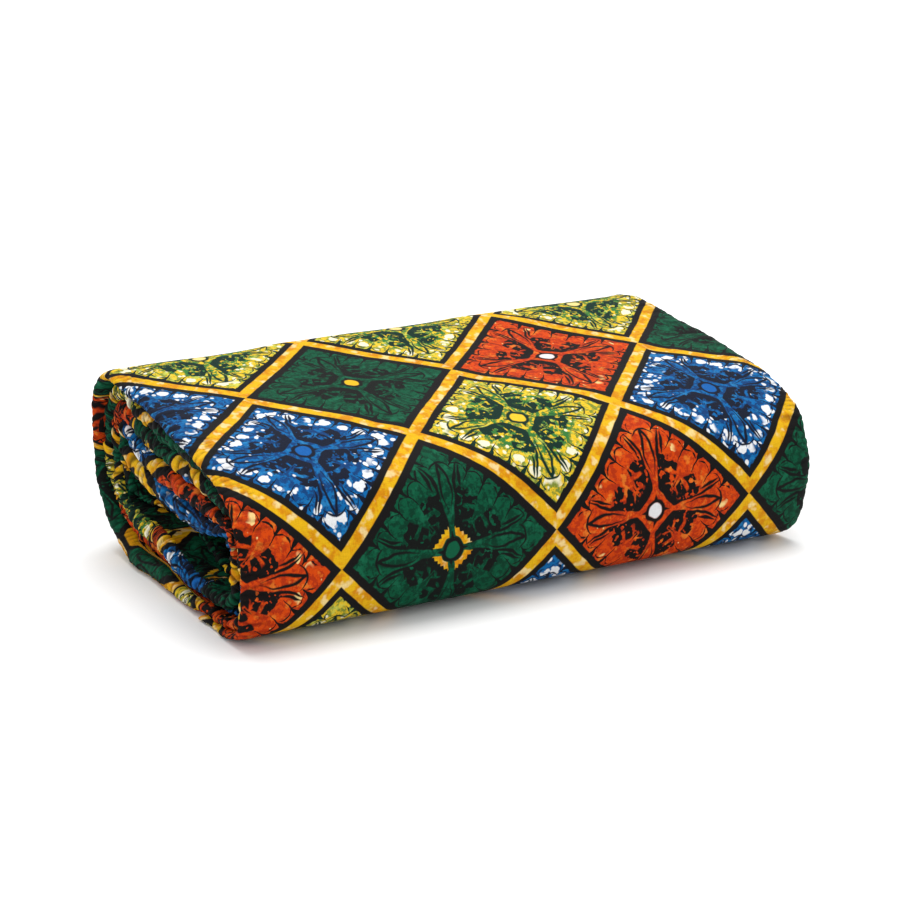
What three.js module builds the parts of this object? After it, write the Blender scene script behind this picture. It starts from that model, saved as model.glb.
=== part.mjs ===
// A length of wax-printed cotton, folded to a strip and wound flat into a bundle.
// The strip is as wide as the bundle is long. It is wound four and a half turns, and each turn is
// a wall as thick as the folded layers in it, with a rounded fold along both of its edges.
// X runs along the bundle, Y from its front to its back and Z up. The origin lies on the surface
// that the bundle rests on, under the middle of its box.

import * as THREE from "three";

const LENGTH = 297; // along the bundle: the folded strip's width
const DEPTH = 175; // front to back, halfway along
const HEIGHT = 88.5; // at the crown, which lies near the back
const SPREAD = 0.083; // the back half is this share deeper at the right end, shallower at the left
const RISE = 0.018; // and this share higher at the back
const GAP = 0.3; // between two turns that lie on each other

// The bundle's section, once round from the strip's free end under the front. y and z place the
// outer face, as shares of half the depth and of the height. inward is the direction of the
// layers there, in degrees from +Y towards +Z, and layers has the thickness of each turn.
const STATIONS = [
  { at: "free end", y: -0.457, z: 0.0, inward: 86, layers: [2.6, 4.8, 2.4, 7.0, 4.4] },
  { at: "underside, front edge", y: -0.72, z: 0.0, inward: 68, layers: [3.6, 4.8, 3.0, 6.4, 4.8] },
  { at: "front bottom corner", y: -0.925, z: 0.074, inward: 40, layers: [5.0, 5.4, 4.8, 6.0, 5.4] },
  { at: "front, low", y: -1.0, z: 0.316, inward: 5, layers: [5.8, 5.8, 5.8, 5.8, 6.0] },
  { at: "front, high", y: -0.974, z: 0.545, inward: -25, layers: [5.8, 5.8, 5.8, 5.8, 6.0] },
  { at: "front top corner", y: -0.863, z: 0.705, inward: -50, layers: [5.6, 5.8, 5.8, 5.8, 6.0] },
  { at: "top, front", y: -0.571, z: 0.828, inward: -74, layers: [5.4, 6.8, 8.4, 8.4, 9.0] },
  { at: "top, before middle", y: -0.114, z: 0.897, inward: -89, layers: [5.6, 7.2, 10.0, 10.0, 10.4] },
  { at: "top, behind middle", y: 0.343, z: 0.955, inward: -91, layers: [5.4, 8.2, 10.2, 10.0, 10.0] },
  { at: "top, back", y: 0.731, z: 0.997, inward: -105, layers: [5.8, 8.4, 9.6, 8.2, 7.8] },
  { at: "back top corner", y: 0.906, z: 0.885, inward: -138, layers: [6.4, 8.0, 8.4, 8.0, 7.6] },
  { at: "back", y: 1.0, z: 0.53, inward: -177, layers: [7.4, 7.0, 7.0, 7.0, 7.0] },
  { at: "back bottom corner", y: 0.88, z: 0.2, inward: 149, layers: [8.6, 6.0, 7.8, 5.4, 5.4] },
  { at: "underside, back", y: 0.5, z: 0.0, inward: 104, layers: [9.6, 7.8, 9.4, 4.4, 4.4] },
  { at: "underside, middle", y: 0.08, z: 0.0, inward: 91, layers: [9.2, 7.2, 9.2, 3.8, 3.8] },
  { at: "underside, front", y: -0.229, z: 0.0, inward: 88, layers: [6.8, 3.6, 8.8, 4.2, 4.2] },
];

// The stretches of the strip that show, from the outside in. from and to count whole turns from
// the free end. left and right say how far each fold lies back from the bundle's end, in the
// order start, front, top, back, underside.
const TURNS = [
  { name: "outer_turn", from: 0, to: 1, left: [1, 0, 0, 1, 1], right: [13, 7, 0, 2, 14] },
  { name: "second_turn", from: 1, to: 2, left: [1, 4, 2.2, 3, 7], right: [14, 10, 3, 5, 15] },
  { name: "third_turn", from: 2, to: 3, left: [7, 4.5, 2.6, 3, 0.5], right: [15, 10, 3.5, 5, 12] },
  { name: "fourth_turn", from: 3, to: 4, left: [2, 4.5, 1.6, 5, 17], right: [13, 11, 3, 6, 15] },
  { name: "inner_fold", from: 4, to: 4.56, left: [15, 6, 1.2, 3, 3], right: [14, 12, 4, 5, 5] },
];
const SIDES_AT = [0, 3.5, 7.5, 11, 14]; // the station where each of those is reached
const SOFT_FOLD_REACH = [4, 8.5, 8.5, 6, 4.5]; // in the same order, on the loose outer turn
const FOLD_REACH = 3.6; // how far a fold rounds in from its edge on the inner turns
const FOLD_FACETS = 6; // round one folded edge
const STEPS_PER_STATION = 4; // along the winding
const PARTING = GAP / 400; // in turns, between the ends of two turns, which are about 400 mm long

// The layers inside the innermost fold: how far each one's folded edge lies back from the end.
const HIDDEN_FOLDS = [
  { left: 34, right: 20 },
  { left: 27, right: 15 },
];
const HIDDEN_FRONT = -46; // where the hidden layers begin and end, front to back
const HIDDEN_BACK = 55;
const HIDDEN_STEPS = 22; // front to back
const HIDDEN_CLEARANCE = 0.35; // above and below them
const HIDDEN_EDGE_SHARE = 0.25; // of their full height, at the front and at the back
const HIDDEN_ROUNDNESS = 4; // the higher, the fuller they fill the fold's corners

const PRINT_COLOURS = {
  outer_turn: 0x1b5f46,
  second_turn: 0xb9a032,
  third_turn: 0xc2551f,
  fourth_turn: 0x22609f,
  inner_fold: 0x3f74a8,
  hidden_layers: 0x123f2c,
};

// Where the layer that starts `turn` whole turns in has its outer face, at one station.
function layerPoint(station, turn) {
  const angle = THREE.MathUtils.degToRad(station.inward);
  const depth = station.layers.slice(0, turn).reduce((sum, layer) => sum + layer, 0);
  return new THREE.Vector3(
    0,
    (station.y * DEPTH) / 2 + depth * Math.cos(angle),
    station.z * HEIGHT + depth * Math.sin(angle),
  );
}

// The strip's outer face as one line from the free end inwards, seen along the bundle.
const WOUND_TURNS = STATIONS[0].layers.length + 1;
const windingPoints = [];
for (let turn = 0; turn < WOUND_TURNS; turn += 1) {
  for (const station of STATIONS) {
    windingPoints.push(layerPoint(station, turn));
  }
}
const winding = new THREE.CatmullRomCurve3(windingPoints, false, "centripetal");

function outerFace(turns) {
  const share = (turns * STATIONS.length) / (windingPoints.length - 1);
  const point = winding.getPoint(share);
  point.z = Math.max(point.z, 0); // the surface it rests on presses the underside flat
  return point;
}

// The inner face lies on the next turn's outer face, with the gap between them.
function innerFace(turns) {
  const outer = outerFace(turns);
  const next = outerFace(turns + 1);
  const thickness = outer.distanceTo(next);
  return next.lerp(outer, GAP / thickness);
}

// A value that changes round a turn, from its five values and the next turn's first one.
function roundTheTurn(values, nextStart, place) {
  const knots = [...SIDES_AT, STATIONS.length];
  const ends = [...values, nextStart];
  const side = Math.max(1, knots.findIndex((knot) => place <= knot));
  const share = THREE.MathUtils.smoothstep(place, knots[side - 1], knots[side]);
  return THREE.MathUtils.lerp(ends[side - 1], ends[side], share);
}

// One closed line round the strip's thickness: the left fold, the right fold and back.
function stripRing(turn, turns) {
  const outer = outerFace(turns);
  const inner = innerFace(turns);
  const place = (turns - turn.from) * STATIONS.length;
  const next = TURNS[TURNS.indexOf(turn) + 1] ?? turn;
  const tight = Math.max(FOLD_REACH, outer.distanceTo(inner) / 2);
  const soft = roundTheTurn(SOFT_FOLD_REACH, FOLD_REACH, place);
  const reach = turn.from === 0 ? soft : tight;
  const leftEnd = -LENGTH / 2 + roundTheTurn(turn.left, next.left[0], place);
  const rightEnd = LENGTH / 2 - roundTheTurn(turn.right, next.right[0], place);
  const ring = [];
  for (let facet = 0; facet <= FOLD_FACETS; facet += 1) {
    const angle = (Math.PI * facet) / FOLD_FACETS;
    const point = outer.clone().lerp(inner, (1 - Math.cos(angle)) / 2);
    point.x = leftEnd + reach * (1 - Math.sin(angle));
    ring.push(point);
  }
  for (let facet = FOLD_FACETS; facet >= 0; facet -= 1) {
    const angle = (Math.PI * facet) / FOLD_FACETS;
    const point = outer.clone().lerp(inner, (1 - Math.cos(angle)) / 2);
    point.x = rightEnd - reach * (1 - Math.sin(angle));
    ring.push(point);
  }
  return ring;
}

// A closed body through a row of rings with the same number of points.
function bodyThroughRings(rings) {
  const positions = rings.flat().flatMap((point) => [point.x, point.y, point.z]);
  const count = rings[0].length;
  const faces = [];
  for (let row = 0; row < rings.length - 1; row += 1) {
    for (let column = 0; column < count; column += 1) {
      const here = row * count + column;
      const beside = row * count + ((column + 1) % count);
      faces.push(here, here + count, beside, beside, here + count, beside + count);
    }
  }
  const lastRow = (rings.length - 1) * count;
  const rungs = count / 2 - 1;
  for (let rung = 0; rung < rungs; rung += 1) {
    const near = rung;
    const far = count - 1 - rung;
    faces.push(near, near + 1, far, near + 1, far - 1, far);
    faces.push(lastRow + near, lastRow + far, lastRow + near + 1);
    faces.push(lastRow + near + 1, lastRow + far, lastRow + far - 1);
  }
  const geometry = new THREE.BufferGeometry();
  geometry.setAttribute("position", new THREE.Float32BufferAttribute(positions, 3));
  geometry.setIndex(faces);
  return geometry;
}

// The roll is a little conical: its back half spreads and rises towards the right end.
function spreadBack(geometry) {
  const position = geometry.attributes.position;
  for (let index = 0; index < position.count; index += 1) {
    const along = position.getX(index) / (LENGTH / 2);
    const y = position.getY(index);
    const back = Math.max(0, y / (DEPTH / 2));
    position.setY(index, y > 0 ? y * (1 + SPREAD * along) : y);
    position.setZ(index, position.getZ(index) * (1 + RISE * along * back));
  }
  geometry.computeVertexNormals();
}

function clothMesh(name, geometry) {
  const material = new THREE.MeshStandardMaterial({
    color: PRINT_COLOURS[name],
    roughness: 0.82,
    metalness: 0,
  });
  spreadBack(geometry);
  const mesh = new THREE.Mesh(geometry, material);
  mesh.name = name;
  return mesh;
}

function turnGeometry(turn) {
  const from = turn.from + PARTING;
  const to = turn.to - PARTING;
  const steps = Math.round((turn.to - turn.from) * STATIONS.length * STEPS_PER_STATION);
  const rings = [];
  for (let step = 0; step <= steps; step += 1) {
    rings.push(stripRing(turn, THREE.MathUtils.lerp(from, to, step / steps)));
  }
  return bodyThroughRings(rings);
}

const HEIGHT_SAMPLES = 90;

// The height of the innermost space's floor or roof at one place, front to back.
function heightAt(from, to, place) {
  let before = innerFace(from);
  for (let sample = 1; sample <= HEIGHT_SAMPLES; sample += 1) {
    const after = innerFace(THREE.MathUtils.lerp(from, to, sample / HEIGHT_SAMPLES));
    if ((before.y - place) * (after.y - place) <= 0 && before.y !== after.y) {
      const share = (place - before.y) / (after.y - before.y);
      return THREE.MathUtils.lerp(before.z, after.z, share);
    }
    before = after;
  }
  return before.z;
}

// Turns from the free end, for a station of the turn that starts that many whole turns in.
function turnsAt(turn, station) {
  return turn + station / STATIONS.length;
}

// The hidden layers are one solid that fills the innermost fold, ridged at its ends.
function hiddenGeometry() {
  const roof = { from: turnsAt(4, 5), to: TURNS.at(-1).to };
  const floor = { from: turnsAt(3, 11.5), to: turnsAt(4, 2) };
  const rings = [];
  for (let step = 0; step <= HIDDEN_STEPS; step += 1) {
    const share = (1 - Math.cos((Math.PI * step) / HIDDEN_STEPS)) / 2;
    const y = THREE.MathUtils.lerp(HIDDEN_BACK, HIDDEN_FRONT, share);
    const bottom = heightAt(floor.from, floor.to, y) + HIDDEN_CLEARANCE;
    const top = heightAt(roof.from, roof.to, y) - HIDDEN_CLEARANCE;
    const middle = (bottom + top) / 2;
    const fullness = Math.sqrt(1 - (2 * share - 1) ** HIDDEN_ROUNDNESS);
    const half = ((top - bottom) / 2) * Math.max(HIDDEN_EDGE_SHARE, fullness);
    const layer = (2 * half) / HIDDEN_FOLDS.length;
    const left = [];
    const right = [];
    HIDDEN_FOLDS.forEach((fold, index) => {
      for (let facet = index ? 1 : 0; facet <= FOLD_FACETS; facet += 1) {
        const angle = (Math.PI * facet) / FOLD_FACETS;
        const rounding = FOLD_REACH * (1 - Math.sin(angle));
        const z = middle - half + layer * (index + (1 - Math.cos(angle)) / 2);
        left.push(new THREE.Vector3(-LENGTH / 2 + fold.left + rounding, y, z));
        right.push(new THREE.Vector3(LENGTH / 2 - fold.right - rounding, y, z));
      }
    });
    rings.push([...left, ...right.reverse()]);
  }
  return bodyThroughRings(rings);
}

const bundle = new THREE.Group();
for (const turn of TURNS) {
  bundle.add(clothMesh(turn.name, turnGeometry(turn)));
}
bundle.add(clothMesh("hidden_layers", hiddenGeometry()));

const box = new THREE.Box3().setFromObject(bundle);
const middle = box.getCenter(new THREE.Vector3());
for (const mesh of bundle.children) {
  mesh.position.set(-middle.x, -middle.y, -box.min.z);
}

const group = new THREE.Group();
group.add(bundle);

export default group;
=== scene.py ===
import math

import bpy
import numpy as np
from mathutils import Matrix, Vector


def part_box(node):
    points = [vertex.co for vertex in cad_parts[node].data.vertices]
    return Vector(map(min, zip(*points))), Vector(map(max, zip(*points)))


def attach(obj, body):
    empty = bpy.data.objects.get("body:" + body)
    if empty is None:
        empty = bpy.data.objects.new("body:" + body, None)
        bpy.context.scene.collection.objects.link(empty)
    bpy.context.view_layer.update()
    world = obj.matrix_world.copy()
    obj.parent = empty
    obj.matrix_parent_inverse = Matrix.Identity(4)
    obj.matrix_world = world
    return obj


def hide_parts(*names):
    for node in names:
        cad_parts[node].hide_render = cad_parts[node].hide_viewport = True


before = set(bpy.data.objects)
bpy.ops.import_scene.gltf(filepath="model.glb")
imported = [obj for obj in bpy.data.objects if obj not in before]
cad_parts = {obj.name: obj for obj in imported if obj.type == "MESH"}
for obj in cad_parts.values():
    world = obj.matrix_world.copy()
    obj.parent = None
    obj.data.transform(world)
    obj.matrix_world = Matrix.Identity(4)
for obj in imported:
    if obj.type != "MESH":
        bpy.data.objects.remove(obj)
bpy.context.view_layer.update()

MM = 0.001

# ---------------------------------------------------------------- the folded and wound strip

LENGTH = 297.0  # mm, along the bundle: the folded strip's width
DEPTH = 175.0  # front to back, halfway along
HEIGHT = 88.5
SPREAD = 0.083  # the back half is this share deeper at the right end
RISE = 0.018  # and this share higher
GAP = 0.3  # between two turns
ABOVE_TABLE = 0.15  # the lowest that any cloth lies
SIDEWAYS = 0.9  # how far the strip wanders from side to side

# Once round the bundle from the free end under the front: y and z of the outer face as shares of
# half the depth and of the height, the direction inwards in degrees, each turn's thickness in mm.
STATIONS = [
    (-0.457, 0.000, 86, (2.6, 4.8, 2.4, 7.0, 4.4)),  # free end
    (-0.720, 0.000, 68, (3.6, 4.8, 3.0, 6.4, 4.8)),  # underside, front edge
    (-0.925, 0.074, 40, (5.0, 5.4, 4.8, 6.0, 5.4)),  # front bottom corner
    (-1.000, 0.316, 5, (5.8, 5.8, 5.8, 5.8, 6.0)),  # front, low
    (-0.974, 0.545, -25, (5.8, 5.8, 5.8, 5.8, 6.0)),  # front, high
    (-0.863, 0.705, -50, (5.6, 5.8, 5.8, 5.8, 6.0)),  # front top corner
    (-0.571, 0.828, -74, (5.4, 6.8, 8.4, 8.4, 9.0)),  # top, front
    (-0.114, 0.897, -89, (5.6, 7.2, 10.0, 10.0, 10.4)),  # top, before middle
    (0.343, 0.955, -91, (5.4, 8.2, 10.2, 10.0, 10.0)),  # top, behind middle
    (0.731, 0.997, -105, (5.8, 8.4, 9.6, 8.2, 7.8)),  # top, back
    (0.906, 0.885, -138, (6.4, 8.0, 8.4, 8.0, 7.6)),  # back top corner
    (1.000, 0.530, -177, (7.4, 7.0, 7.0, 7.0, 7.0)),  # back
    (0.880, 0.200, 149, (8.6, 6.0, 7.8, 5.4, 5.4)),  # back bottom corner
    (0.500, 0.000, 104, (9.6, 7.8, 9.4, 4.4, 4.4)),  # underside, back
    (0.080, 0.000, 91, (9.2, 7.2, 9.2, 3.8, 3.8)),  # underside, middle
    (-0.229, 0.000, 88, (6.8, 3.6, 8.8, 4.2, 4.2)),  # underside, front
]
ROUND = len(STATIONS)
TURN_COUNT = len(STATIONS[0][3])

# Each stretch that shows, outside in: first and last turn, how far the left and right folds lie
# back from the bundle's ends at the places of KNOTS, and how full the folds are there in mm. The
# outer turn's left fold stands a little proud at the back.
KNOTS = (0.0, 3.5, 7.5, 11.0, 14.0, 16.0)  # start, front, top, back, underside, next start
TURNS = [
    dict(name="outer_turn", first=0.0, last=1.0, left=(1, 0, 0, -1.5, 0.5, 1),
         right=(13, 7, 0, 2, 14, 14), full=(4, 8.5, 8.5, 6, 4.5, 3.6)),
    dict(name="second_turn", first=1.0, last=2.0, left=(1, 4, 2.2, 3, 7, 7),
         right=(14, 10, 3, 5, 15, 15), full=None),
    dict(name="third_turn", first=2.0, last=3.0, left=(7, 4.5, 2.6, 3, 0.5, 2),
         right=(15, 10, 3.5, 5, 12, 13), full=None),
    dict(name="fourth_turn", first=3.0, last=4.0, left=(2, 4.5, 1.6, 5, 17, 15),
         right=(13, 11, 3, 6, 15, 14), full=None),
    dict(name="inner_fold", first=4.0, last=4.56, left=(15, 6, 1.2, 3, 3, 15),
         right=(14, 12, 4, 5, 5, 14), full=None),
]
# How far an inner turn's fold reaches in from its edge, if its wall isn't thicker.
FOLD_FULL = 3.6

TILE_ACROSS = 52.0  # mm, half a diamond's width along the bundle
TILE_ROUND = 59.6  # mm, half a diamond's height round the winding
COLUMN_AT_MIDDLE = 0.99
ROW_AT_TOP_FRONT = (6.0, 1.86)  # a station of the outer turn and the print's row there
ROW_EASE = ((-0.5, 0.0, 1.0, 2.0), (-0.025, -0.025, 0.062, 0.067))  # rows, how far each is eased
# Where the print runs along each left fold: station, row and column.
EDGE_PRINT = {
    "outer_turn": (
        (9.8, -0.35, -1.87), (10.2, -0.02, -2.45), (10.7, -0.12, -2.50), (11.0, -0.55, -2.45),
        (11.2, -0.95, -2.10), (12.0, -1.49, -1.95), (12.6, -1.90, -1.95), (12.9, -1.90, -1.95),
        (13.4, -1.45, -1.90), (14.2, -1.80, -1.90), (14.6, -1.93, -1.90), (15.0, -2.05, -1.60),
        (15.8, -2.42, -1.50), (16.0, -2.60, -1.70)),
    "second_turn": (
        (0.0, 5.20, 0.40), (4.8, 3.50, 0.40), (7.4, 2.59, 0.45), (8.2, 2.28, 0.52),
        (9.5, 1.72, 0.50), (12.0, -0.55, 0.45), (14.0, -1.40, 0.50), (14.4, -1.60, 0.50),
        (16.0, -2.50, 0.50)),
    "third_turn": (
        (0.0, 5.60, 3.85), (4.0, 3.75, 3.85), (6.3, 2.14, 3.85), (6.9, 1.86, 3.85),
        (8.1, 0.62, 4.30), (8.3, 0.40, 4.50), (9.6, -0.30, 4.80), (10.6, -0.75, 5.30),
        (11.9, -1.60, 5.20), (13.0, -2.05, 5.20), (13.7, -2.45, 5.45), (14.0, -3.05, 6.95),
        (16.0, -4.20, 7.05)),
    "fourth_turn": (
        (0.0, 6.90, -0.10), (4.0, 5.70, -0.05), (7.4, 4.32, 0.25), (8.2, 3.98, 0.35),
        (9.8, 3.45, 0.35), (10.4, 3.25, 0.25), (13.0, 2.12, -0.15), (13.6, 1.88, -0.15),
        (16.0, 0.90, 0.00)),
    "inner_fold": (
        (0.0, 2.65, 6.30), (0.7, 2.50, 6.30), (2.6, 1.70, 6.30), (3.2, 1.52, 6.30),
        (7.2, 0.29, 5.90), (8.2, 0.00, 5.90), (9.0, -0.30, 5.90)),
}
# On the outer turn that print begins between these stations and is eased into the true one over
# this many mm inside the fold, and across the fold's own curve outside.
OUTER_EDGE_BEGINS = (9.8, 10.2)
OUTER_EDGE_REACH = 4.5
# The floor of the hollow at the left end is another layer: its print's first column, and how many
# rows it lies aside of the print along that turn's fold.
HOLLOW_FLOOR = dict(turn="third_turn", column=4.2, rows_aside=-0.95)

NOISE_SIZE = 4096
NOISE_STRIDES = (1, 61)  # in the table, from cell to cell of each measure


def smooth(value, low, high):
    share = np.clip((value - low) / (high - low), 0.0, 1.0)
    return share * share * (3.0 - 2.0 * share)


def wander(seed, *where):
    """Soft noise from -1 to 1, the same in each run, over one or two measures."""
    table = np.random.default_rng(seed).uniform(-1.0, 1.0, NOISE_SIZE)
    total = 0.0
    whole = [np.floor(w).astype(int) for w in where]
    part = [w - np.floor(w) for w in where]
    part = [p * p * (3.0 - 2.0 * p) for p in part]
    for corner in range(2 ** len(where)):
        index = 0
        weight = 1.0
        for axis, (cell, share) in enumerate(zip(whole, part)):
            step = (corner >> axis) & 1
            index = index + (cell + step) * NOISE_STRIDES[axis]
            weight = weight * (share if step else 1.0 - share)
        total = total + weight * table[index % NOISE_SIZE]
    return total


def winding_points():
    """(y, z) of the strip's outer face at each station, from the free end inwards."""
    points = []
    for turn in range(TURN_COUNT + 1):
        for y, z, inward, layers in STATIONS:
            depth = sum(layers[:turn])
            angle = math.radians(inward)
            points.append((y * DEPTH / 2 + depth * math.cos(angle),
                           z * HEIGHT + depth * math.sin(angle)))
    return np.array(points)


WINDING = winding_points()


def outer_face(turns):
    """(y, z) of the strip's outer face, that many turns in from its free end: a smooth line
    through the stations, parted by the square roots of their distances."""
    place = np.clip(np.asarray(turns, float) * ROUND, 0.0, len(WINDING) - 1 - 1e-6)
    index = np.floor(place).astype(int)
    share = (place - index)[:, None]
    before = np.where(index[:, None] > 0, WINDING[np.maximum(index - 1, 0)],
                      2 * WINDING[0] - WINDING[1])
    here, after = WINDING[index], WINDING[index + 1]
    beyond = np.where((index + 2 < len(WINDING))[:, None],
                      WINDING[np.minimum(index + 2, len(WINDING) - 1)], 2 * after - here)
    spans = [np.sqrt(np.linalg.norm(b - a, axis=1))[:, None]
             for a, b in ((before, here), (here, after), (after, beyond))]
    first, middle, last = spans
    leave = (here - before) / first - (after - before) / (first + middle) + (after - here) / middle
    arrive = (after - here) / middle - (beyond - here) / (middle + last) + (beyond - after) / last
    leave, arrive = leave * middle, arrive * middle
    point = (here + leave * share + (3 * (after - here) - 2 * leave - arrive) * share ** 2
             + (2 * (here - after) + leave + arrive) * share ** 3)
    point[:, 1] = np.maximum(point[:, 1], 0.0)
    return point


def inner_face(turns):
    outer, following = outer_face(turns), outer_face(np.asarray(turns) + 1.0)
    thickness = np.linalg.norm(following - outer, axis=1)[:, None]
    return following + (outer - following) * GAP / thickness


def round_the_turn(values, place):
    """A value that changes softly from knot to knot."""
    result = np.full(place.shape, float(values[0]))
    for low, high, start, end in zip(KNOTS, KNOTS[1:], values, values[1:]):
        result += (end - start) * smooth(place, low, high)
    return result


FINE_STEPS = 12  # from station to station, where lengths are measured


def measure_rows():
    """Turns, length and the print's row at fine steps of the winding, from the free end."""
    turns = np.linspace(0.0, TURN_COUNT, TURN_COUNT * ROUND * FINE_STEPS + 1)
    steps = np.linalg.norm(np.diff(outer_face(turns), axis=0), axis=1)
    length = np.concatenate([[0.0], np.cumsum(steps)])
    station, row = ROW_AT_TOP_FRONT
    start = np.interp(station / ROUND, turns, length)
    rows = row - (length - start) / TILE_ROUND
    return turns, length, rows + np.interp(rows, *ROW_EASE)


WOUND, WOUND_LENGTH, WOUND_ROW = measure_rows()


def spread_back(points):
    """The roll is a little conical: its back half spreads and rises towards the right end."""
    along = points[..., 0] / (LENGTH / 2)
    y = points[..., 1].copy()
    points[..., 1] = np.where(y > 0, y * (1 + SPREAD * along), y)
    points[..., 2] *= 1 + RISE * along * np.maximum(0.0, y / (DEPTH / 2))
    return points


# How far back everything is moved, so that the front lies where the solid's front lies.
BACK_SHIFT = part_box("outer_turn")[0][1] / MM - outer_face(np.linspace(0, 1, 800))[:, 0].min()


def surface_normals(grid):
    along = np.gradient(grid, axis=0)
    across = np.roll(grid, -1, axis=1) - np.roll(grid, 1, axis=1)
    normal = np.cross(across, along)
    return normal / np.maximum(np.linalg.norm(normal, axis=2, keepdims=True), 1e-9)


def cloth_piece(name, grid, sides, painted_shade_in_valleys):
    """A closed shell through rings of points. sides has the print's column and row at the two
    sides of each strip of faces, for each ring, and the last argument the painted shade in the
    valleys of the gathers, 0 to 1."""
    count, around = grid.shape[:2]
    ring, strip = np.meshgrid(np.arange(count - 1), np.arange(around), indexing="ij")
    here, beside = ring * around + strip, ring * around + (strip + 1) % around
    faces = np.stack([here, beside, beside + around, here + around], axis=-1)
    faces = faces.reshape(-1, 4).tolist()
    this_ring, next_ring = sides[:-1], sides[1:]
    cloth_map = np.stack([this_ring[:, :, 0], this_ring[:, :, 1],
                          next_ring[:, :, 1], next_ring[:, :, 0]], axis=2)
    cloth_map = cloth_map.reshape(-1, 2).tolist()
    # ladders of faces close the first and the last ring
    for row, order in ((0, 1), (count - 1, -1)):
        for rung in range(around // 2 - 1):
            corners = (rung, around - 1 - rung, around - 2 - rung, rung + 1)[::order]
            faces.append([row * around + corner for corner in corners])
            cloth_map.extend(sides[row, corner, 0] for corner in corners)
    mesh = bpy.data.meshes.new(name)
    mesh.from_pydata((grid.reshape(-1, 3) * MM).tolist(), [], faces)
    layer = mesh.uv_layers.new(name="cloth")
    layer.data.foreach_set("uv", np.array(cloth_map).ravel())
    # the painted shade of the gathers' valleys, kept on the points for the material to darken the
    # colour by
    gathers_and_painted_shade = mesh.attributes.new("gathers_and_painted_shade", "FLOAT", "POINT")
    gathers_and_painted_shade.data.foreach_set("value", painted_shade_in_valleys.ravel())
    mesh.polygons.foreach_set("use_smooth", [True] * len(mesh.polygons))
    mesh.validate()
    piece = bpy.data.objects.new(name, mesh)
    bpy.context.collection.objects.link(piece)
    return piece


FOLD_ANGLES = np.linspace(0.0, math.pi, 13)
FOLD_TIP = len(FOLD_ANGLES) // 2
NEAR_FOLD = (3.0, 6.0, 10.0, 15.0, 22.0, 32.0)  # mm from a fold, where the face has more points
FAR_FROM_FOLD = 100.0


def strip_sides(columns, rows):
    """The column and row at the two sides of each strip of faces round a ring."""
    points = np.stack([columns, np.broadcast_to(rows, columns.shape)], axis=-1)
    return np.stack([points, np.roll(points, -1, axis=1)], axis=2)


def ring_of(left, right, full, middle_columns):
    """The points round the wall, from the left fold's inner side over the outer face, the right
    fold and the inner face: place along the bundle, depth through the wall from 0 outside to 1
    inside, and distance from the fold."""
    near_left = [(left + full + distance, distance) for distance in NEAR_FOLD]
    near_right = [(right - full - distance, distance) for distance in reversed(NEAR_FOLD)]
    low, high = near_left[-1][0], near_right[0][0]
    middle = [(low + (high - low) * share, FAR_FROM_FOLD)
              for share in np.linspace(0, 1, middle_columns + 2)[1:-1]]
    face = near_left + middle + near_right
    curve = [(1 - math.sin(angle), (1 - math.cos(angle)) / 2) for angle in FOLD_ANGLES]
    return ([(left + full * back, depth, 0.0) for back, depth in reversed(curve)]
            + [(x, 0.0, distance) for x, distance in face]
            + [(right - full * back, depth, 0.0) for back, depth in curve]
            + [(x, 1.0, distance) for x, distance in reversed(face)])


def turn_grid(turn, steps_per_station, middle_columns, seed):
    """One turn's wall as rings of points, with the print's place on it."""
    steps = int(round((turn["last"] - turn["first"]) * ROUND * steps_per_station))
    turns = np.linspace(turn["first"], turn["last"], steps + 1)
    place = (turns - turn["first"]) * ROUND
    outer, inner = outer_face(turns), inner_face(turns)
    length = np.interp(turns, WOUND, WOUND_LENGTH)
    if turn["full"]:
        full = round_the_turn(turn["full"], place)
    else:
        full = np.maximum(FOLD_FULL, np.linalg.norm(outer - inner, axis=1) / 2)
    slack = SIDEWAYS * wander(seed, length / 38.0) + 0.4 * wander(seed + 1, length / 13.0)
    left = -LENGTH / 2 + round_the_turn(turn["left"], place) + slack + SIDEWAYS
    right = LENGTH / 2 - round_the_turn(turn["right"], place) + slack - SIDEWAYS
    ring = ring_of(left, right, full, middle_columns)
    grid = np.stack([np.column_stack([x, outer + (inner - outer) * depth])
                     for x, depth, _ in ring], axis=1)
    depths = np.array([depth for _, depth, _ in ring])
    wall = dict(turn=turn, turns=turns, place=place, length=length, grid=grid,
                outside=1.0 - smooth(depths, 0.0, 0.5),
                from_fold=np.array([distance for _, _, distance in ring]))
    steps_round = np.linalg.norm(np.diff(grid, axis=1), axis=2)
    travelled = np.cumsum(np.pad(steps_round, ((0, 0), (1, 0))), axis=1)
    wall["around"] = travelled - travelled[:, FOLD_TIP:FOLD_TIP + 1]
    wall["sides"] = lay_print(wall, travelled)
    wall["grid"] = spread_back(grid)
    return wall


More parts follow.
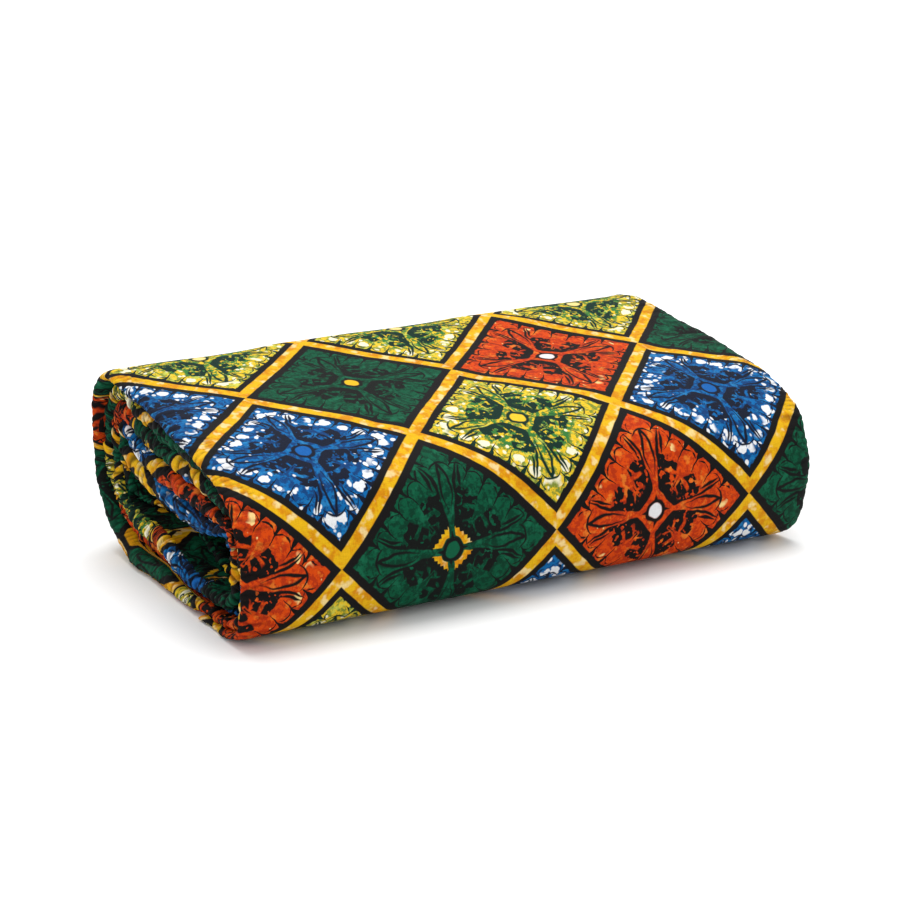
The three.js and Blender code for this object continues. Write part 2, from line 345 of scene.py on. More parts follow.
def lay_print(wall, travelled):
    """The print's column and row at the two sides of each strip of faces of a wall."""
    turn, grid, place = wall["turn"], wall["grid"], wall["place"]
    # the true print: columns go by the way along the cloth, rows by the way round the winding
    first = len(FOLD_ANGLES)  # the outer face's first point
    columns = travelled - travelled[:, first:first + 1] + grid[:, first:first + 1, 0]
    # the inner face's left part is counted from the left fold on, as if the ring went on there
    closing = np.linalg.norm(grid[:, 0] - grid[:, -1], axis=1)[:, None]
    on_left = grid[0, :, 0] < 0
    inner_left = (np.arange(len(on_left)) > len(on_left) // 2) & on_left
    columns = columns - inner_left * (travelled[:, -1:] + closing)
    columns = columns / TILE_ACROSS + COLUMN_AT_MIDDLE
    rows = np.interp(wall["turns"], WOUND, WOUND_ROW)[:, None]
    # the part of the print that shows along the left fold
    station, edge_row, edge_column = np.array(EDGE_PRINT[turn["name"]]).T
    near = 1.0
    if turn["first"] == 0:
        near = (1 - smooth(wall["from_fold"], 0.0, OUTER_EDGE_REACH)) * on_left
        near = near * (1 - wall["outside"] ** 4) * smooth(place, *OUTER_EDGE_BEGINS)[:, None]
    aside = np.interp(place, station, edge_column)[:, None] - columns[:, FOLD_TIP:FOLD_TIP + 1]
    columns = columns + near * aside
    rows = rows + near * (np.interp(place, station, edge_row)[:, None] - rows)
    sides = strip_sides(columns, rows)
    if turn["name"] == HOLLOW_FLOOR["turn"]:
        floor = sides[:, inner_left]
        floor[..., 0] += HOLLOW_FLOOR["column"] - columns[:, :1, None]
        floor[..., 1] += HOLLOW_FLOOR["rows_aside"]
        sides[:, inner_left] = floor
    return sides


# The gathers of the outer turn and of the inner ones, how strongly painted shade darkens their
# valleys, and the mesh's steps and middle columns.
OUTER_CLOTH = dict(height=0.60, spacing=4.0, reach=8.0, painted_valley_shade=0.6, steps=(16, 34), middle=44)
INNER_CLOTH = dict(height=1.5, spacing=4.2, reach=14.0, painted_valley_shade=1.0, steps=(22, 38), middle=5)


def pucker(wall, seed, height, spacing, reach):
    """Small uneven gathers across a folded edge: their relief, and how deep each point lies in a
    valley between two of them, which the material darkens as painted shade."""
    length, around = wall["length"], wall["around"]
    # counts the gathers along the fold: unevenly spaced, slanting and wavering
    pace = 1 / (spacing * (1 + 0.38 * wander(seed, length / 11.0)))
    count = np.cumsum(pace * np.gradient(length))[:, None] + 0.16 * around / spacing
    count = count + 0.45 * wander(seed + 2, length[:, None] / 6.0, around / 5.0)
    across = 2 * (count - np.floor(count)) - 1  # -1 and 1 in the valleys, 0 on the crest
    arch = np.sqrt(np.maximum(0.0, 1 - across ** 2))
    each = 0.72 + 0.28 * np.sin(np.floor(count) * 2.4)  # neighbours differ in height
    lumps = 0.5 * wander(seed + 3, length[:, None] / 8.0, around / 7.0)
    fade = 1 - smooth(wall["from_fold"], 0.0, reach)
    relief = height * (arch * each - 0.62 + lumps) * fade
    return relief, smooth(np.abs(across), 0.45, 1.0) * fade


def make_turn(turn, index):
    kind = INNER_CLOTH if index else OUTER_CLOTH
    steps = kind["steps"][1]
    edge_seed, gather_seed = 11 + 10 * index, 40 + 10 * index
    wall = turn_grid(turn, steps, kind["middle"], edge_seed)
    relief, painted_shade_in_valleys = pucker(wall, gather_seed, kind["height"], kind["spacing"], kind["reach"])
    if index == 0:
        relief = relief + creases(wall)
    grid = wall["grid"]
    grid = grid + surface_normals(grid) * relief[..., None]
    grid[..., 1] += BACK_SHIFT
    grid[..., 2] = np.maximum(grid[..., 2], ABOVE_TABLE)
    # the valleys of the gathers carry painted shade, weaker on the outer turn than inside
    piece = cloth_piece(turn["name"].replace("_", "-") + "-cloth", grid, wall["sides"],
                        kind["painted_valley_shade"] * painted_shade_in_valleys)
    dress(piece, turn["name"])
    return piece


# Soft troughs (negative) and ridges in the outer turn, listed one by one: where its middle lies
# along the bundle and round from the free end in mm, its slant in degrees, half its length, half
# its width and its height in mm. Round the bundle the front is at 65-110 mm, the top at 120-265,
# the back at 265-330 and the underside beyond and before.
CREASES = (
    # front
    (-96, 84, 24, 46, 7.0, -0.7), (-60, 98, -8, 60, 8.0, 0.6), (12, 78, 12, 52, 9.0, -0.6),
    (58, 92, -16, 40, 6.0, -0.8), (104, 80, 30, 30, 7.0, 0.7), (126, 100, -40, 20, 5.0, -0.7),
    (-20, 70, 4, 70, 7.0, 0.5), (84, 66, 18, 34, 6.0, -0.6), (-128, 72, 60, 22, 5.0, 0.6),
    # top
    (-118, 170, 72, 34, 6.0, -0.8), (-92, 214, 48, 52, 9.0, 0.9), (-46, 150, 30, 44, 8.0, -0.7),
    (-12, 236, -14, 66, 9.0, 0.8), (34, 186, 22, 58, 8.0, -0.8), (66, 226, -34, 42, 7.0, 0.9),
    (98, 164, 40, 38, 7.0, -0.9), (122, 208, -62, 32, 6.0, -0.8), (136, 152, 76, 24, 5.0, 0.9),
    (-64, 252, 8, 40, 6.0, -0.6), (18, 142, -6, 50, 7.0, 0.6), (84, 250, 10, 46, 6.0, 0.7),
    # back
    (-110, 292, 20, 40, 7.0, 0.8), (-58, 308, -12, 58, 8.0, -0.8), (4, 288, 6, 48, 8.0, 0.7),
    (46, 316, -22, 44, 7.0, -0.9), (92, 296, 16, 42, 7.0, 0.8), (124, 312, -52, 26, 6.0, -0.7),
    # underside
    (-84, 372, 28, 44, 8.0, -0.5), (-20, 396, -10, 60, 9.0, 0.5), (52, 366, 18, 48, 8.0, -0.5),
    (104, 404, -30, 36, 7.0, 0.5), (0, 20, 10, 60, 8.0, -0.4),
)


def creases(wall):
    """The relief of the creases, and of a faint unevenness, on a wall's outer face."""
    x, round_at = wall["grid"][..., 0], wall["length"][:, None]
    drift = 3.0 * wander(71, x / 23.0, round_at / 19.0)  # no crease is quite straight
    relief = 0.22 * wander(73, x / 44.0, round_at / 37.0)
    for middle, at, angle, long, wide, height in CREASES:
        turn = math.radians(angle)
        along = (x - middle) * math.cos(turn) + (round_at - at) * math.sin(turn)
        across = (round_at - at) * math.cos(turn) - (x - middle) * math.sin(turn) + drift
        relief = relief + height * np.exp(-(across / wide) ** 2 - (along / long) ** 4)
    return relief * wall["outside"]


def dress(piece, node):
    piece.data.materials.append(bpy.data.materials["wax printed cotton"])
    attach(piece, "root")
    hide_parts(node)


# The layers inside the innermost fold, in mm.
HIDDEN_FOLDS = ((34.0, 20.0), (27.0, 15.0))  # how far each layer lies back, left and right
HIDDEN_FRONT = -46.0
HIDDEN_BACK = 55.0
HIDDEN_FLOOR = (3 + 11.5 / ROUND, 4 + 2 / ROUND)  # the turns that they lie on
HIDDEN_ROOF = (4 + 5 / ROUND, TURNS[-1]["last"])  # and under
HIDDEN_CLEARANCE = 0.35
HIDDEN_EDGE_SHARE = 0.25  # of the thickness, left at the front and back edge
HIDDEN_ROUNDNESS = 4
HIDDEN_STEPS = 90
HIDDEN_ACROSS = (0.03, 0.08, 0.2, 0.5, 0.8, 0.92, 0.97)  # where a face has points
HIDDEN_ROW = 2.05  # where the print starts on them
HIDDEN_COLUMN = -0.1


def height_at(span, places):
    """How high the winding's inner face lies at places from front to back, in a span of turns."""
    line = inner_face(np.linspace(*span, 400))
    line = line[np.argsort(line[:, 0])]
    return np.interp(places, line[:, 0], line[:, 1])


def make_hidden_layers():
    """The layers inside the innermost fold, as one body with a folded edge for each layer."""
    share = (1 - np.cos(np.linspace(0.0, math.pi, HIDDEN_STEPS))) / 2
    y = HIDDEN_BACK + (HIDDEN_FRONT - HIDDEN_BACK) * share
    bottom = height_at(HIDDEN_FLOOR, y) + HIDDEN_CLEARANCE
    top = height_at(HIDDEN_ROOF, y) - HIDDEN_CLEARANCE
    fullness = np.sqrt(np.maximum(0.0, 1 - (2 * share - 1) ** HIDDEN_ROUNDNESS))
    half = (top - bottom) / 2 * np.maximum(HIDDEN_EDGE_SHARE, fullness)
    layer = 2 * half / len(HIDDEN_FOLDS)
    slack = 1.5 * wander(91, y / 17.0)
    left, right = [], []  # the folded edges from below
    for index, (back_left, back_right) in enumerate(HIDDEN_FOLDS):
        for angle in FOLD_ANGLES[1 if index else 0:]:
            rounding = FOLD_FULL * (1 - math.sin(angle))
            z = (bottom + top) / 2 - half + layer * (index + (1 - math.cos(angle)) / 2)
            left.append(np.stack([-LENGTH / 2 + back_left + rounding + slack, y, z], axis=1))
            right.append(np.stack([LENGTH / 2 - back_right - rounding + slack, y, z], axis=1))
    above = [left[-1] + (right[-1] - left[-1]) * part for part in HIDDEN_ACROSS]
    under = [right[0] + (left[0] - right[0]) * part for part in HIDDEN_ACROSS]
    grid = np.stack(left + above + right[::-1] + under, axis=1)
    steps = np.linalg.norm(np.diff(grid, axis=1), axis=2)
    across = np.cumsum(np.pad(steps, ((0, 0), (1, 0))), axis=1)
    length = np.concatenate([[0.0], np.cumsum(np.hypot(np.diff(y), np.diff(top)))])
    sides = strip_sides(across / TILE_ACROSS + HIDDEN_COLUMN,
                        (length / TILE_ROUND + HIDDEN_ROW)[:, None])
    grid = spread_back(grid)
    # slanting gathers, a few mm apart, which shape the layers and darken their valleys as painted
    # shade
    gathers_and_painted_shade = np.abs(wander(95, (length[:, None] + 0.4 * across) / 3.6, across / 30.0))
    grid = grid + surface_normals(grid) * (0.4 - 0.64 * gathers_and_painted_shade)[..., None]
    grid[..., 1] += BACK_SHIFT
    piece = cloth_piece("hidden-layers-cloth", grid, sides, gathers_and_painted_shade)
    dress(piece, "hidden_layers")
    return piece


# ---------------------------------------------------------------- wax print


class Recipe:
    """A node tree, written as sums. A mask is 1 where something is and 0 where it isn't."""

    def __init__(self, tree):
        self.tree = tree

    def node(self, kind, inputs=(), **settings):
        made = self.tree.nodes.new(kind)
        for key, value in settings.items():
            setattr(made, key, value)
        for key, value in dict(inputs).items():
            self.feed(made.inputs[key], value)
        return made

    def feed(self, socket, value):
        if isinstance(value, bpy.types.NodeSocket):
            self.tree.links.new(value, socket)
        else:
            socket.default_value = value

    def sum(self, operation, *values, clamp=False):
        made = self.node("ShaderNodeMath", operation=operation, use_clamp=clamp)
        for socket, value in zip(made.inputs, values):
            self.feed(socket, value)
        return made.outputs[0]

    def vector_sum(self, operation, *values):
        made = self.node("ShaderNodeVectorMath", operation=operation)
        for socket, value in zip(made.inputs, values):
            self.feed(socket, value)
        return made.outputs[0]

    def parts(self, vector):
        return self.node("ShaderNodeSeparateXYZ", {0: vector}).outputs

    def colour_parts(self, colour):
        return self.node("ShaderNodeSeparateColor", {0: colour}).outputs

    def add(self, a, b):
        return self.sum("ADD", a, b)

    def less(self, a, b):
        return self.sum("SUBTRACT", a, b)

    def times(self, a, b):
        return self.sum("MULTIPLY", a, b)

    def share(self, a, b):
        return self.sum("DIVIDE", a, b)

    def size(self, a):
        return self.sum("ABSOLUTE", a)

    def larger(self, a, b):
        return self.sum("MAXIMUM", a, b)

    def smaller(self, a, b):
        return self.sum("MINIMUM", a, b)

    def rise(self, value, low, high):
        """0 below low, 1 above high and soft between; low above high turns it round."""
        made = self.node("ShaderNodeMapRange", interpolation_type="SMOOTHSTEP")
        turned = not isinstance(low, bpy.types.NodeSocket) and low > high
        first, second = (high, low) if turned else (low, high)
        for socket, item in zip(made.inputs, (value, first, second, float(turned),
                                              float(not turned))):
            self.feed(socket, item)
        return made.outputs[0]

    def below(self, value, limit, soft=0.012):
        """1 where value is below limit."""
        return self.rise(self.less(limit, value), -soft, soft)

    def either(self, *masks):
        result = masks[0]
        for mask in masks[1:]:
            result = self.larger(result, mask)
        return result

    def both(self, *masks):
        result = masks[0]
        for mask in masks[1:]:
            result = self.times(result, mask)
        return result

    def pointed(self, value, begins, ends, half):
        """Half the width of a shape that is pointed at both ends and half at its fullest."""
        turn = self.times(self.less(value, begins), math.pi / (ends - begins))
        return self.times(self.sum("SINE", turn), half)

    def mix(self, share, under, over):
        made = self.node("ShaderNodeMix", data_type="RGBA")
        self.feed(made.inputs[0], share)
        self.feed(made.inputs[6], under)
        self.feed(made.inputs[7], over)
        return made.outputs[2]

    def chart(self, value, colours):
        """A colour picked by value from 0 to 1, in equal steps."""
        made = self.node("ShaderNodeValToRGB", {0: value})
        ramp = made.color_ramp
        ramp.interpolation = "CONSTANT"
        while len(ramp.elements) < len(colours):
            ramp.elements.new(0.5)
        for index, colour in enumerate(colours):
            ramp.elements[index].position = index / len(colours)
            ramp.elements[index].color = colour
        return made.outputs[0]

    def cloudy(self, where, scale, detail=2.0, rough=0.5, stretch=None):
        """Soft noise round 0.5."""
        if stretch:
            where = self.vector_sum("MULTIPLY", where, stretch)
        made = self.node("ShaderNodeTexNoise", {"Vector": where, "Scale": scale,
                                                "Detail": detail, "Roughness": rough})
        return made.outputs[0]


def new_group(name, takes, gives):
    """A node group with named sockets, and the recipe to fill it with."""
    tree = bpy.data.node_groups.new(name, "ShaderNodeTree")
    for label, kind in takes:
        tree.interface.new_socket(label, in_out="INPUT", socket_type="NodeSocket" + kind)
    for label, kind in gives:
        tree.interface.new_socket(label, in_out="OUTPUT", socket_type="NodeSocket" + kind)
    recipe = Recipe(tree)
    taken = tree.nodes.new("NodeGroupInput").outputs
    given = tree.nodes.new("NodeGroupOutput").inputs
    return recipe, taken, given


def dye(red, green, blue):
    """A colour with its red, green and blue from 0 to 255, made ready for the light."""
    def ready(value):
        value /= 255.0
        return value / 12.92 if value <= 0.04045 else ((value + 0.055) / 1.055) ** 2.4
    return (ready(red), ready(green), ready(blue), 1.0)


# One repeat of the print: six rows along the cloth, each of four diamonds across.
# G green, O orange, B blue, Y yellow and lime.
PRINT_CHART = ("YYOY", "GOGB", "YBYB", "GOGO", "BBYY", "OGBG")
# The eye of each of those diamonds: g golden, w white, c cream, b blue, y yellow, s green with
# golden corners round it.
EYE_CHART = ("ccwc", "gwsb", "ybyb", "swgw", "bbyc", "wsbg")
KINDS = "GOBY"
EYES = "gwcbys"
# The dyes of each kind, and how much its colours mix, how much the second dye fringes the petals
# and how much white cloth shows.
DYES = {
    "G": dict(main=dye(4, 84, 56), second=dye(2, 54, 36), light=dye(20, 106, 74),
              resist=dye(18, 106, 74), ink=dye(16, 20, 18), mixed=0.8, fringed=0.6, white=0.0),
    "O": dict(main=dye(216, 72, 6), second=dye(166, 40, 12), light=dye(236, 128, 40),
              resist=dye(250, 214, 140), ink=dye(18, 13, 12), mixed=0.7, fringed=0.3, white=0.34),
    "B": dict(main=dye(8, 104, 170), second=dye(12, 58, 112), light=dye(40, 132, 190),
              resist=dye(238, 240, 242), ink=dye(16, 24, 44), mixed=0.85, fringed=0.7, white=0.95),
    "Y": dict(main=dye(236, 198, 42), second=dye(36, 118, 56), light=dye(206, 214, 92),
              resist=dye(246, 240, 208), ink=dye(12, 46, 36), mixed=0.75, fringed=0.9, white=0.80),
}
EYE_DYES = dict(g=dye(240, 186, 30), w=dye(232, 232, 234), c=dye(244, 220, 140),
                b=dye(20, 96, 172), y=dye(240, 200, 46), s=dye(10, 92, 62))
GOLD = dye(234, 182, 20)
DEEP_GOLD = dye(216, 140, 10)
PALE_GOLD = dye(248, 224, 160)
OUTLINE = dye(20, 18, 18)

# The diamonds as drawn are a little narrower and taller than the lattice. From a diamond's middle
# its field of colour reaches this far towards the lattice line at 1, and the outline from there to
# the golden band; each with how much further it reaches in the large diamonds.
DRAWN_ACROSS = 0.965
DRAWN_ALONG = 1.035
FIELD_REACH = (0.825, 0.047)
OUTLINE_REACH = (0.904, 0.058)
THREADS = 120.0  # to half a diamond

# The rosette, in a diamond that reaches 1 at its corners. Widths, and the length of a petal, are
# measured from its middle line or middle.
STEM_WIDTH = 0.026
STEM_WIDENS = (0.22, 0.19)  # from there on, and by how much
PETAL_AT = 0.46
PETAL_LENGTH = 0.24
PETAL_WIDTH = 0.45
PETAL_POWER = 2.6  # 2 is oval, more is squarer
VEIN_BEGINS = 0.335
# The twigs of a petal's vein: where each leaves it, how far it reaches aside, its lean and width.
VEIN_TWIGS = ((0.45, 0.12, -0.70, 0.016), (0.59, 0.22, -0.35, 0.028))
LEAF = (0.30, 0.72, 0.040)  # where it begins and ends, and its width
DART = (0.30, 0.80, 0.064)
HOOKS_AT = 0.775
HOOK_REACH = 0.115
EYE_RADIUS = 0.074
RING_RADIUS = 0.112
ARM_REACH = 0.165
BUBBLE_LENGTH = 0.125  # half a bubble's, along the edge
# The barbs beside a leaf: where each begins and ends, how far beside it, its lean and width.
BARBS = ((0.40, 0.78, 0.074, 0.02, 0.017), (0.50, 0.74, 0.135, 0.12, 0.016))


def diamond_group():
    """Which diamond a point of the cloth lies in, and where in it."""
    r, taken, given = new_group(
        "diamond lattice", [("Cloth", "Vector")],
        [("Across", "Float"), ("Along", "Float"), ("Edge", "Float"), ("Large", "Float"),
         ("Chart", "Float")])
    column, row = r.parts(taken["Cloth"])[:2]
    one = r.sum("ROUND", r.times(r.add(r.add(column, row), 1.0), 0.5))
    two = r.sum("ROUND", r.times(r.add(r.less(column, row), 1.0), 0.5))
    middle_column = r.less(r.add(one, two), 1.0)
    middle_row = r.less(one, two)
    across = r.less(column, middle_column)
    along = r.less(row, middle_row)
    chart_rows, chart_columns = float(len(PRINT_CHART)), float(len(PRINT_CHART[0]))
    chart_column = r.sum("FLOORED_MODULO", r.sum("FLOOR", r.times(middle_column, 0.5)),
                         chart_columns)
    chart_row = r.sum("FLOORED_MODULO", middle_row, chart_rows)
    place = r.add(r.add(r.times(chart_row, chart_columns), chart_column), 0.5)
    r.feed(given["Across"], across)
    r.feed(given["Along"], along)
    r.feed(given["Edge"], r.add(r.times(r.size(across), DRAWN_ACROSS),
                                r.times(r.size(along), DRAWN_ALONG)))
    r.feed(given["Large"], r.sum("FLOORED_MODULO", middle_row, 2.0))
    r.feed(given["Chart"], r.share(place, chart_rows * chart_columns))
    return r.tree


def rosette_group():
    """The four-petalled flower of a diamond, drawn for a diamond that reaches 1 at its corners."""
    r, taken, given = new_group(
        "batik rosette", [("Across", "Float"), ("Along", "Float"), ("Unevenness", "Float")],
        [("Ink", "Float"), ("Petal", "Float"), ("Eye", "Float"), ("Corners", "Float"),
         ("Rim", "Float"), ("Pearls", "Float")])
    across, along, uneven = taken["Across"], taken["Along"], taken["Unevenness"]
    a, b = r.size(across), r.size(along)
    x, y = r.larger(a, b), r.smaller(a, b)
    out = r.add(a, b)  # 0 in the middle, 1 at the edge
    side = r.less(a, b)  # 0 along the middle of a petal
    aside = r.size(side)
    distance = r.sum("SQRT", r.add(r.times(a, a), r.times(b, b)))

    # stems from the middle to the corners, which widen outwards, part four round dark petals
    widens_from, widens_by = STEM_WIDENS
    stem = r.add(STEM_WIDTH, r.times(r.larger(r.less(x, widens_from), 0.0), widens_by))
    lobe = r.add(r.sum("POWER", r.share(r.size(r.less(out, PETAL_AT)), PETAL_LENGTH), PETAL_POWER),
                 r.sum("POWER", r.share(aside, PETAL_WIDTH), PETAL_POWER))
    lobe = r.add(lobe, r.times(uneven, r.times(r.rise(out, 0.40, 0.62), 1.8)))
    petal = r.both(r.below(lobe, 1.0, 0.08), r.rise(r.less(y, stem), -0.006, 0.008))

    # a vein grows into each petal from outside, with blunt twigs and a cleft at its tip
    root = r.larger(r.less(out, 0.40), 0.0)
    vein_half = r.add(r.times(root, r.add(0.14, r.times(root, 0.60))), 0.022)
    vein = r.both(r.below(aside, vein_half, 0.010), r.rise(out, VEIN_BEGINS, VEIN_BEGINS + 0.025))
    for start, reach, lean, width in VEIN_TWIGS:
        off = r.size(r.less(r.less(out, start), r.times(aside, lean)))
        thin = r.add(width, r.times(uneven, 0.05))
        vein = r.either(vein, r.both(r.below(off, thin, 0.010), r.below(aside, reach, 0.020)))
    cleft_half = r.times(r.less(0.52, out), 0.10)
    cleft = r.both(r.below(aside, cleft_half, 0.006), r.rise(out, 0.36, 0.38))
    torn = r.both(r.rise(uneven, 0.085, 0.115), r.rise(out, 0.30, 0.40))
    dark_petal = r.times(petal, r.less(1.0, r.either(torn, r.times(vein, r.less(1.0, cleft)))))

    # a pointed leaf towards each corner inside a thin dark dart with two hooks at its tip
    begins, ends = LEAF[:2]
    leaf = r.both(r.below(y, r.pointed(x, *LEAF), 0.007), r.rise(x, begins, begins + 0.01),
                  r.rise(x, ends, ends - 0.01))
    begins, ends = DART[:2]
    dart = r.both(r.below(y, r.pointed(x, *DART), 0.007), r.rise(x, begins, begins + 0.04),
                  r.rise(x, ends, ends - 0.02))
    darts = r.times(dart, r.less(1.0, leaf))
    hook = r.size(r.less(x, r.less(HOOKS_AT, r.times(r.times(y, y), 5.0))))
    darts = r.either(darts, r.both(r.below(hook, r.less(0.014, r.times(y, 0.06)), 0.007),
                                   r.below(y, HOOK_REACH, 0.010)))
    for begins, ends, offset, lean, width in BARBS:
        past = r.less(x, begins)
        line = r.size(r.less(y, r.add(offset, r.times(past, r.add(lean, r.times(past, 0.9))))))
        darts = r.either(darts, r.both(r.below(line, r.pointed(x, begins, ends, width), 0.006),
                                       r.rise(past, 0.0, 0.02), r.rise(x, ends, ends - 0.02)))

    # the star round the eye
    arm = r.both(r.below(y, r.times(r.less(ARM_REACH, x), 0.35), 0.008),
                 r.rise(x, ARM_REACH + 0.005, ARM_REACH - 0.010))
    eye = r.below(distance, EYE_RADIUS, 0.008)
    ring = r.both(r.either(r.below(distance, RING_RADIUS, 0.008), arm), r.less(1.0, eye))
    zigzag = r.times(r.sum("PINGPONG", aside, 0.036), 0.9)
    corners = r.both(r.rise(distance, RING_RADIUS + 0.004, RING_RADIUS + 0.012),
                     r.below(out, r.add(0.225, zigzag), 0.008),
                     r.rise(y, 0.030, 0.038), r.below(aside, 0.165, 0.008))

    # bubbles along the edge, parted by short dark notches; some keep the white of the cloth
    # bubble is 0 between two of them and 1 in a bubble's middle
    bubble = r.share(r.sum("PINGPONG", r.add(side, BUBBLE_LENGTH), BUBBLE_LENGTH), BUBBLE_LENGTH)
    notch = r.add(r.times(r.rise(bubble, 0.34, 0.02), 0.11),
                  r.times(r.rise(bubble, 0.12, 0.0), 0.17))
    notch = r.times(notch, r.rise(y, 0.07, 0.13))
    scallop_line = r.less(0.955, r.times(r.sum("POWER", r.less(1.0, bubble), 2.0), 0.075))
    scallop_half = r.add(0.009, r.times(uneven, 0.05))
    scallop = r.both(r.below(r.size(r.less(out, scallop_line)), scallop_half, 0.006),
                     r.rise(y, 0.07, 0.10))
    rim_ink = r.rise(r.add(out, r.add(notch, r.times(uneven, 0.10))), 0.992, 1.008)
    pearl = r.add(r.sum("POWER", r.share(r.size(r.less(out, 0.86)), 0.075), 2.0),
                  r.sum("POWER", r.share(r.less(1.0, bubble), 0.60), 2.0))
    pearl = r.below(r.add(pearl, r.times(uneven, 2.6)), 1.0, 0.15)

    ink = r.either(dark_petal, darts, ring, rim_ink, scallop)
    for label, value in zip(("Ink", "Petal", "Eye", "Corners", "Rim", "Pearls"),
                            (ink, lobe, eye, corners, out, pearl)):
        r.feed(given[label], value)
    return r.tree


def thread_group():
    """Plain weave: the rise and fall of its threads, and slubs along them."""
    r, taken, given = new_group("plain weave", [("Cloth", "Vector"), ("Thread", "Float")],
                                [("Height", "Float"), ("Slub", "Float")])
    column, row = r.parts(taken["Cloth"])[:2]
    warp = r.sum("SINE", r.times(column, taken["Thread"]))
    weft = r.sum("SINE", r.times(row, taken["Thread"]))
    r.feed(given["Height"], r.add(r.times(r.times(warp, weft), 0.5), 0.5))
    lengthwise = r.cloudy(taken["Cloth"], 1.0, 2.0, 0.6, (140.0, 14.0, 1.0))
    crosswise = r.cloudy(taken["Cloth"], 1.0, 2.0, 0.6, (14.0, 140.0, 1.0))
    r.feed(given["Slub"], r.times(r.add(lengthwise, crosswise), 0.5))
    return r.tree


def group(recipe, tree, **inputs):
    made = recipe.node("ShaderNodeGroup", node_tree=tree)
    for label, value in inputs.items():
        recipe.feed(made.inputs[label], value)
    return made.outputs


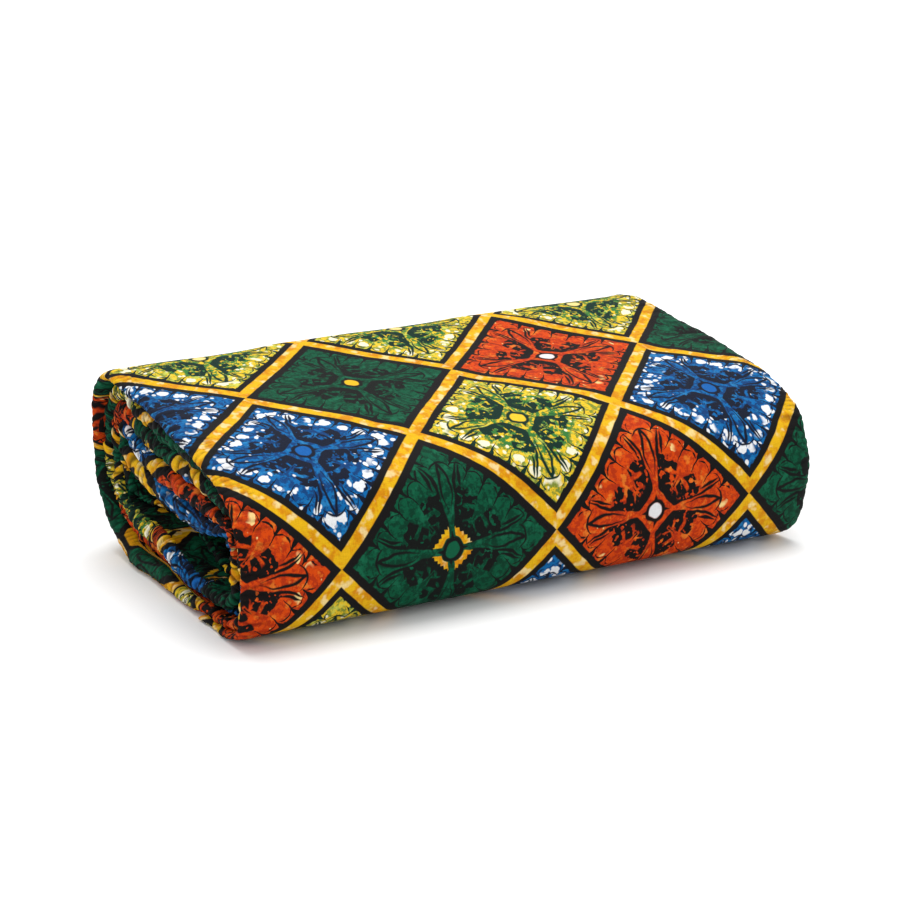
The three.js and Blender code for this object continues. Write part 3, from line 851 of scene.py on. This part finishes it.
def wax_print_material():
    material = bpy.data.materials.new("wax printed cotton")
    material.use_nodes = True
    tree = material.node_tree
    tree.nodes.clear()
    r = Recipe(tree)
    cloth = r.node("ShaderNodeUVMap", uv_map="cloth").outputs[0]

    # the drawn line wavers a little, as wax does, and the lattice less than the rosettes
    waver = r.node("ShaderNodeTexNoise", {"Vector": cloth, "Scale": 8.0, "Detail": 1.0}).outputs[1]
    centred = r.vector_sum("SUBTRACT", waver, (0.5, 0.5, 0.5))
    drawn = r.vector_sum("MULTIPLY_ADD", centred, (0.045, 0.045, 0.0), cloth)
    line = r.vector_sum("MULTIPLY_ADD", centred, (0.012, 0.012, 0.0), cloth)
    lattice = group(r, diamond_group(), Cloth=line)
    field_edge, outline_edge = (r.add(r.times(lattice["Large"], more), reach)
                                for reach, more in (FIELD_REACH, OUTLINE_REACH))
    offset = r.parts(r.vector_sum("SUBTRACT", drawn, line))
    across = r.share(r.times(r.add(lattice["Across"], offset[0]), DRAWN_ACROSS), field_edge)
    along = r.share(r.times(r.add(lattice["Along"], offset[1]), DRAWN_ALONG), field_edge)
    rough_edge = r.less(r.cloudy(cloth, 20.0, 1.0, 0.5), 0.5)
    flower = group(r, rosette_group(), Across=across, Along=along, Unevenness=rough_edge)

    # the charts hold the middle of each kind's step and of each eye's step
    kinds = [((KINDS.index(k) + 0.5) / len(KINDS), (EYES.index(e) + 0.5) / len(EYES), 0.0, 1.0)
             for kind_row, eye_row in zip(PRINT_CHART, EYE_CHART)
             for k, e in zip(kind_row, eye_row)]
    kind, eye_kind = r.colour_parts(r.chart(lattice["Chart"], kinds))[:2]

    def of_kind(key):
        return r.chart(kind, [DYES[name][key] for name in KINDS])

    def share_of_kind(key):
        values = [(DYES[name][key], 0.0, 0.0, 1.0) for name in KINDS]
        return r.colour_parts(r.chart(kind, values))[0]

    # the dyes of a diamond
    streaks = r.cloudy(drawn, 19.0, 4.0, 0.66)
    patches = r.cloudy(cloth, 9.0, 3.0, 0.62)
    fringe = r.both(r.rise(flower["Petal"], 2.6, 1.2), r.rise(streaks, 0.44, 0.50))
    second = of_kind("second")
    colour = r.mix(r.times(r.rise(streaks, 0.47, 0.55), share_of_kind("mixed")),
                   of_kind("main"), second)
    colour = r.mix(r.times(fringe, share_of_kind("fringed")), colour, second)
    colour = r.mix(r.times(r.rise(patches, 0.54, 0.66), 0.75), colour, of_kind("light"))

    # spots that kept the white of the cloth, more of them outwards, and white pearls on the rim
    white = share_of_kind("white")
    kept = r.below(r.cloudy(cloth, 3.4, 2.0), r.add(0.26, r.times(white, 0.30)), 0.03)
    spots = r.node("ShaderNodeTexVoronoi", {"Vector": drawn, "Scale": 17.0, "Randomness": 1.0},
                   feature="F1").outputs
    chosen = r.colour_parts(spots["Color"])[0]
    outward = r.rise(flower["Rim"], 0.35, 0.80)
    spot = r.both(r.below(spots["Distance"], r.times(r.times(outward, white), 0.40), 0.06),
                  r.below(chosen, r.times(white, 0.60), 0.02))
    resist = r.either(spot, r.times(r.times(flower["Pearls"], kept), r.rise(white, 0.0, 0.2)))
    colour = r.mix(resist, colour, of_kind("resist"))

    # the drawing and its eye
    colour = r.mix(flower["Ink"], colour, of_kind("ink"))
    colour = r.mix(flower["Eye"], colour, r.chart(eye_kind, [EYE_DYES[name] for name in EYES]))

    # gold: corners round some eyes, and the band, which lies inside the small diamonds
    gold_patch = r.rise(r.cloudy(cloth, 9.5, 2.0, 0.5), 0.53, 0.66)
    gold_deep = r.rise(r.cloudy(cloth, 7.0, 3.0, 0.7), 0.44, 0.62)
    gold = r.mix(r.times(gold_patch, 0.8), r.mix(gold_deep, GOLD, DEEP_GOLD), PALE_GOLD)
    golden_corners = r.both(flower["Corners"], r.rise(eye_kind, 0.86, 0.90))
    colour = r.mix(golden_corners, colour, gold)
    edge = lattice["Edge"]
    colour = r.mix(r.rise(r.less(edge, field_edge), -0.008, 0.006), colour, OUTLINE)
    colour = r.mix(r.rise(r.less(edge, outline_edge), -0.007, 0.007), colour, gold)

    # the weave, and painted shade that darkens the colour in the valleys of the gathers
    weave = group(r, thread_group(), Cloth=cloth, Thread=2 * math.pi * THREADS)
    painted_valley_shade = r.node("ShaderNodeAttribute", attribute_name="gathers_and_painted_shade").outputs["Fac"]
    shade = r.times(r.add(0.45, r.times(weave["Slub"], 0.66)), r.less(1.0, r.times(painted_valley_shade, 0.78)))
    toned = r.node("ShaderNodeVectorMath", {0: colour, 3: shade}, operation="SCALE").outputs[0]
    height = r.add(r.times(weave["Height"], 0.5), r.times(weave["Slub"], 1.2))
    bump = r.node("ShaderNodeBump", {"Strength": 0.35, "Distance": 0.00015, "Height": height})
    shader = r.node("ShaderNodeBsdfPrincipled", {
        "Base Color": toned, "Roughness": 0.72, "Specular IOR Level": 0.08,
        "Normal": bump.outputs[0]})
    r.node("ShaderNodeOutputMaterial", {"Surface": shader.outputs[0]})


# ---------------------------------------------------------------- table, light and camera


def lay_table():
    material = bpy.data.materials.new("white table")
    material.use_nodes = True
    shader = material.node_tree.nodes["Principled BSDF"]
    shader.inputs["Base Color"].default_value = (0.84, 0.84, 0.84, 1.0)
    shader.inputs["Roughness"].default_value = 0.9
    shader.inputs["Specular IOR Level"].default_value = 0.1
    mesh = bpy.data.meshes.new("table")
    reach = 6.0  # m from the middle
    corners = ((-1, -1), (1, -1), (1, 1), (-1, 1))
    mesh.from_pydata([(x * reach, y * reach, 0) for x, y in corners], [], [(0, 1, 2, 3)])
    mesh.materials.append(material)
    table = bpy.data.objects.new("table", mesh)
    bpy.context.collection.objects.link(table)


def light_the_table():
    """A white room, and a wide soft lamp high up and a little behind."""
    scene = bpy.context.scene
    world = bpy.data.worlds.new("white room")
    scene.world = world
    world.use_nodes = True
    background = world.node_tree.nodes["Background"]
    background.inputs["Color"].default_value = (1.0, 1.0, 1.0, 1.0)
    background.inputs["Strength"].default_value = 1.0
    data = bpy.data.lights.new("high soft lamp", "SUN")
    data.energy = 2.3
    data.angle = math.radians(42)
    lamp = bpy.data.objects.new("high soft lamp", data)
    bpy.context.collection.objects.link(lamp)
    lamp.rotation_euler = (math.radians(-12), math.radians(8), 0.0)
    scene.view_settings.view_transform = "Standard"
    scene.view_settings.look = "None"


def set_camera():
    data = bpy.data.cameras.new("camera")
    data.lens = 83.8
    data.sensor_width = 36.0
    data.clip_end = 50.0
    camera = bpy.data.objects.new("camera", data)
    bpy.context.collection.objects.link(camera)
    camera.location = (-0.4649, -0.8140, 0.3198)
    looks_down, turned_right = math.radians(16.48), math.radians(29.69)
    camera.rotation_euler = (math.pi / 2 - looks_down, 0.0, -turned_right)
    bpy.context.scene.camera = camera


wax_print_material()
lay_table()
turn_pieces = [make_turn(turn, index) for index, turn in enumerate(TURNS)]
hidden_piece = make_hidden_layers()
light_the_table()
set_camera()
